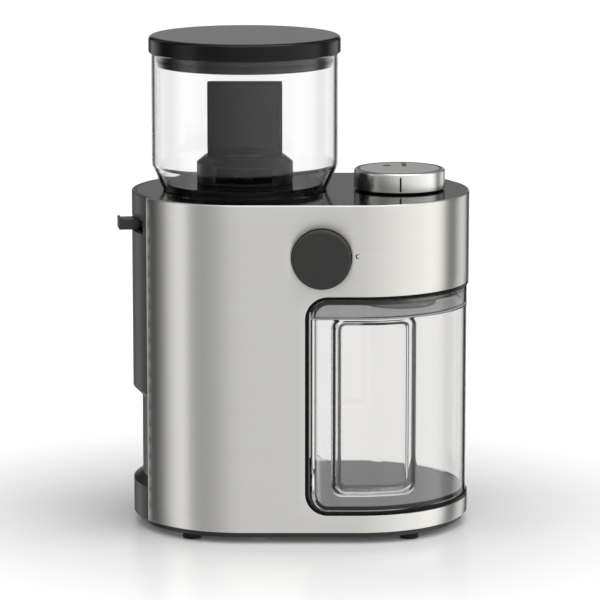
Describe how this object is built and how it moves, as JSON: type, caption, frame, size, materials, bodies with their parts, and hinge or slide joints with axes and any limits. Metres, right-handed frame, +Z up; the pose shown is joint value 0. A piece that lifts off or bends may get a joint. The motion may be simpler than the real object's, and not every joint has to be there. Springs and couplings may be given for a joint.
{
  "type": "burr coffee grinder",
  "caption": "Upright burr coffee grinder: brushed steel oval body, clear bean hopper with black lid, side pull-out grounds container, start button, portion dial and grind lever.",
  "frame": {"origin": "on the plane of the feet, under the middle of the body's oval plan", "axes": "+Z up, -Y out of the front (start button and window), +X to the container's side, as seen from the front to the right"},
  "size_m": [0.1899, 0.1295, 0.2653],
  "materials": {
    "satin_black": "fine spark-eroded texture",
    "rubber_black": "matt",
    "screw_steel": "zinc plated",
    "brushed_shell": "horizontally brushed stainless sheet",
    "gloss_black": "high gloss ABS",
    "chassis_grey": "satin moulded ABS",
    "trim_black": "satin gloss",
    "motor_steel": "phosphated pressed steel",
    "motor_plastic": "phenolic moulding",
    "winding": "enamelled copper on laminations",
    "bronze": "sintered bronze",
    "shaft_steel": "ground",
    "laminations": "varnished laminations",
    "copper": "bare copper",
    "gear_nylon": "natural nylon",
    "pinion_brass": "cut brass",
    "gearbox_grey": "glass-filled nylon",
    "seal_red": "matt",
    "chamber_grey": "glass-filled nylon",
    "carrier_cream": "acetal",
    "burr_steel": "hardened, ground",
    "hopper_clear": "clear, polished",
    "container_clear": "clear, polished",
    "seal_grey": "matt",
    "container_lid_clear": "smoky clear",
    "button_grey": "soft satin",
    "switch_blue": "moulded",
    "dial_steel": "turned and brushed",
    "board_green": "coated circuit board"
  },
  "bodies": {
    "body": {"base_plate": "satin_black", "rubber_feet": "rubber_black", "base_screws": "screw_steel", "steel_shell": "brushed_shell", "rear_housing": "satin_black", "top_panel": "gloss_black", "chassis": "chassis_grey", "chassis_posts": "chassis_grey", "window_trim": "trim_black", "cord_gland": "rubber_black", "motor_can": "motor_steel", "motor_endcap": "motor_plastic", "motor_stator": "winding", "motor_bearings": "bronze", "motor_mount": "rubber_black", "gearbox_housing": "gearbox_grey", "gearbox_cover": "gearbox_grey", "gearbox_posts": "gearbox_grey", "idler_pin": "shaft_steel", "shaft_bearings": "bronze", "shaft_seal": "seal_red", "burr_housing": "chamber_grey", "burr_cover": "chamber_grey", "cover_screws": "screw_steel", "grounds_chute": "chamber_grey", "outlet_spout": "chamber_grey", "button_guide": "chassis_grey", "button_spring": "shaft_steel", "start_switch": "switch_blue", "timer_unit": "board_green"},
    "rotor": {"motor_shaft": "shaft_steel", "armature": "laminations", "commutator": "copper", "cooling_fan": "gear_nylon", "motor_pinion": "pinion_brass"},
    "idler": {"idler_gear": "gear_nylon"},
    "drive": {"output_gear": "gear_nylon", "burr_shaft": "shaft_steel", "impeller": "carrier_cream", "lower_burr": "burr_steel", "burr_nut": "screw_steel"},
    "burr_lift": {"upper_burr": "burr_steel", "burr_carrier": "carrier_cream", "burr_screws": "screw_steel"},
    "lever": {"adjusting_ring": "chamber_grey", "lever_knob": "satin_black"},
    "hopper": {"bean_hopper": "hopper_clear", "hopper_base": "gloss_black"},
    "gate": {"gate_disc": "satin_black", "gate_cap": "satin_black", "gate_handle": "satin_black"},
    "lid": {"hopper_lid": "gloss_black", "lid_seal": "rubber_black"},
    "container": {"grounds_container": "container_clear", "container_seal": "seal_grey", "container_lid": "container_lid_clear"},
    "button": {"start_button": "button_grey"},
    "dial": {"dial_ring": "dial_steel", "dial_cap": "dial_steel", "dial_hub": "gloss_black"}
  },
  "joints": [
    {"name": "burr_spin", "type": "hinge", "parent": "body", "child": "drive", "pos_m": [-0.03, 0, 0.12], "axis": [0, 0, 1], "continuous": true},
    {"name": "idler_spin", "type": "hinge", "parent": "body", "child": "idler", "pos_m": [-0.05771, 0.016, 0.1], "axis": [0, 0, 1], "continuous": true},
    {"name": "motor_spin", "type": "hinge", "parent": "body", "child": "rotor", "pos_m": [-0.04371, -0.00825, 0.06], "axis": [0, 0, 1], "continuous": true},
    {"name": "grind_lever_turn", "type": "hinge", "parent": "body", "child": "lever", "pos_m": [-0.03, 0, 0.165], "axis": [0, 0, 1], "range_deg": [-36, 12]},
    {"name": "burr_lift_slide", "type": "slide", "parent": "body", "child": "burr_lift", "axis": [0, 0, 1], "range_m": [-0.0003, 0.0009]},
    {"name": "hopper_lift", "type": "slide", "parent": "body", "child": "hopper", "axis": [0, 0, 1], "range_m": [0, 0.06]},
    {"name": "lid_lift", "type": "slide", "parent": "hopper", "child": "lid", "axis": [0, 0, 1], "range_m": [0, 0.05]},
    {"name": "gate_turn", "type": "hinge", "parent": "hopper", "child": "gate", "pos_m": [-0.03, 0, 0.19], "axis": [0, 0, 1], "range_deg": [0, 90]},
    {"name": "container_slide", "type": "slide", "parent": "body", "child": "container", "axis": [1, 0, 0], "range_m": [0, 0.09]},
    {"name": "start_press", "type": "slide", "parent": "body", "child": "button", "axis": [0, 1, 0], "range_m": [0, 0.0025], "stiffness_N_per_m": 600, "springref_m": -0.003, "deforming": ["button_spring"]},
    {"name": "dial_turn", "type": "hinge", "parent": "body", "child": "dial", "pos_m": [0.0532, 0, 0.185], "axis": [0, 0, 1], "range_deg": [-135, 135]}
  ],
  "couplings": [
    {"joint": "burr_spin", "follows": "motor_spin", "ratio": 0.076364},
    {"joint": "idler_spin", "follows": "motor_spin", "ratio": -0.27273},
    {"joint": "grind_lever_turn", "follows": "burr_lift_slide", "rad_per_m": -698.13}
  ]
}
